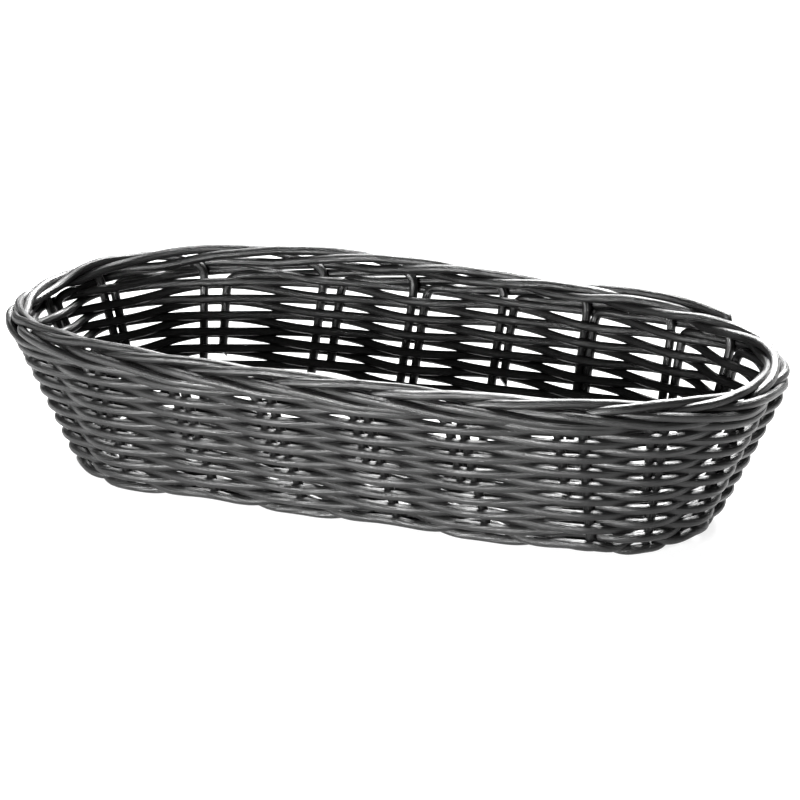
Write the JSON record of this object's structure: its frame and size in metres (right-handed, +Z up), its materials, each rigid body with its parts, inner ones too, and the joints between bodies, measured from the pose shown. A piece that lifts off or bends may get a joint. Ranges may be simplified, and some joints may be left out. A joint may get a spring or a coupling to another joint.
{
  "type": "bread basket",
  "caption": "Oblong open basket with flared see-through walls, woven from round black plastic cord over continuous stakes, with a rolled border; holds bread or rolls on a table.",
  "frame": {"origin": "centre of the basket's footprint, on the plane that it stands on", "axes": "+X along the basket's length, +Z up through its open top, so -Y is one long wall"},
  "size_m": [0.3826, 0.1699, 0.087],
  "materials": {
    "stake_cord": "black extruded cord with fine lengthwise grooves, satin",
    "weaver_cord": "black extruded cord with fine lengthwise grooves, satin"
  },
  "bodies": {
    "root": {"cross_stake_1": "stake_cord", "cross_stake_2": "stake_cord", "cross_stake_3": "stake_cord", "cross_stake_4": "stake_cord", "cross_stake_5": "stake_cord", "cross_stake_6": "stake_cord", "long_stake_1": "stake_cord", "long_stake_2": "stake_cord", "long_stake_3": "stake_cord", "long_stake_4": "stake_cord", "base_weaver_1a": "weaver_cord", "base_weaver_1b": "weaver_cord", "base_weaver_2a": "weaver_cord", "base_weaver_2b": "weaver_cord", "base_weaver_3a": "weaver_cord", "base_weaver_3b": "weaver_cord", "wall_weaver_1": "weaver_cord", "wall_weaver_2": "weaver_cord", "wall_weaver_3": "weaver_cord", "wall_weaver_4": "weaver_cord", "wall_weaver_5": "weaver_cord", "wall_weaver_6": "weaver_cord", "wall_weaver_7": "weaver_cord", "wall_weaver_8": "weaver_cord", "wall_weaver_9": "weaver_cord", "wall_weaver_10": "weaver_cord", "wall_weaver_11": "weaver_cord", "wall_weaver_12": "weaver_cord", "wall_weaver_13": "weaver_cord", "wall_weaver_14": "weaver_cord", "wall_weaver_15": "weaver_cord", "wall_weaver_16": "weaver_cord", "wall_weaver_17": "weaver_cord", "wall_weaver_18": "weaver_cord", "wall_weaver_19": "weaver_cord", "loose_rod": "stake_cord"}
  },
  "joints": []
}
